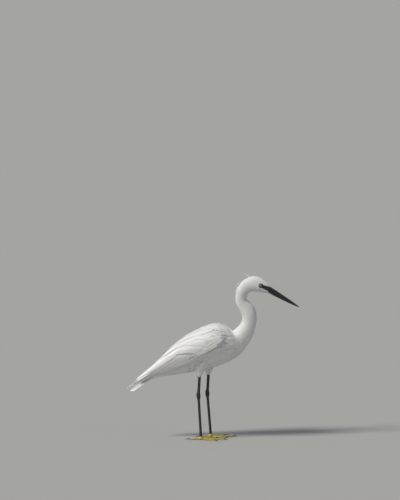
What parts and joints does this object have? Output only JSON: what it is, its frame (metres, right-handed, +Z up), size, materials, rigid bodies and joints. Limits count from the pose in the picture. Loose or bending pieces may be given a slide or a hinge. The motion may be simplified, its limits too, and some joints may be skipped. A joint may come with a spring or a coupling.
{
  "type": "little egret",
  "caption": "Standing white heron with its neck in an S, dagger bill, long dark legs and yellow toes, as a still life-size bird model.",
  "frame": {"origin": "on the floor, under the middle of the bird's bounding box", "axes": "+X the way the bird faces, +Y its left side, +Z up"},
  "size_m": [0.4042, 0.1118, 0.384],
  "materials": {
    "feathers": "soft white feathers",
    "bill": "satin slate-black horn",
    "iris": "wet clear eye, pale yellow iris",
    "leg_skin": "scaled black skin",
    "toe_skin": "scaled yellow skin",
    "claw": "dark horn"
  },
  "bodies": {
    "root": {"head": "feathers", "neck_upper": "feathers", "neck_middle": "feathers", "neck_lower": "feathers", "torso": "feathers", "tail": "feathers", "bill_upper": "bill", "bill_lower": "bill", "eye_left": "iris", "wing_left": "feathers", "thigh_left": "feathers", "shank_left": "leg_skin", "tarsus_left": "leg_skin", "foot_left": "toe_skin", "toe_left_inner": "toe_skin", "claw_left_inner": "claw", "toe_left_middle": "toe_skin", "claw_left_middle": "claw", "toe_left_outer": "toe_skin", "claw_left_outer": "claw", "toe_left_hind": "toe_skin", "claw_left_hind": "claw", "eye_right": "iris", "wing_right": "feathers", "thigh_right": "feathers", "shank_right": "leg_skin", "tarsus_right": "leg_skin", "foot_right": "toe_skin", "toe_right_inner": "toe_skin", "claw_right_inner": "claw", "toe_right_middle": "toe_skin", "claw_right_middle": "claw", "toe_right_outer": "toe_skin", "claw_right_outer": "claw", "toe_right_hind": "toe_skin", "claw_right_hind": "claw"}
  },
  "joints": []
}
